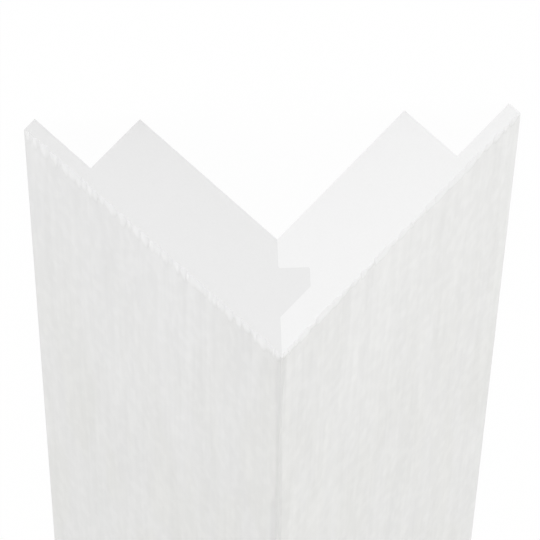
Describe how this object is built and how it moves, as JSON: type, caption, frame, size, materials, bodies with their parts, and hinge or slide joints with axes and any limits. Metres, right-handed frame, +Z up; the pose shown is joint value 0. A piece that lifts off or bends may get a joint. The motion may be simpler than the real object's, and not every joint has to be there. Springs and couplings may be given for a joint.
{
  "type": "corner board",
  "caption": "Right-angle corner trim with a lock-mitred outer corner, grained white faces and a rabbet behind each free edge that tucks over the siding.",
  "frame": {"origin": "middle of the length, under the outer corner, on the floor that the tips of both lips rest on", "axes": "+Y along the length with the pictured end at -Y, +Z up through the outer corner, +X towards the tongue board's free edge"},
  "size_m": [0.1432, 3.048, 0.075],
  "materials": {
    "tongue_board_pvc": "white cellular PVC, grain-embossed outer face, sawn ends",
    "groove_board_pvc": "white cellular PVC, grain-embossed outer face, sawn ends"
  },
  "bodies": {
    "root": {"tongue_board": "tongue_board_pvc", "groove_board": "groove_board_pvc"}
  },
  "joints": []
}
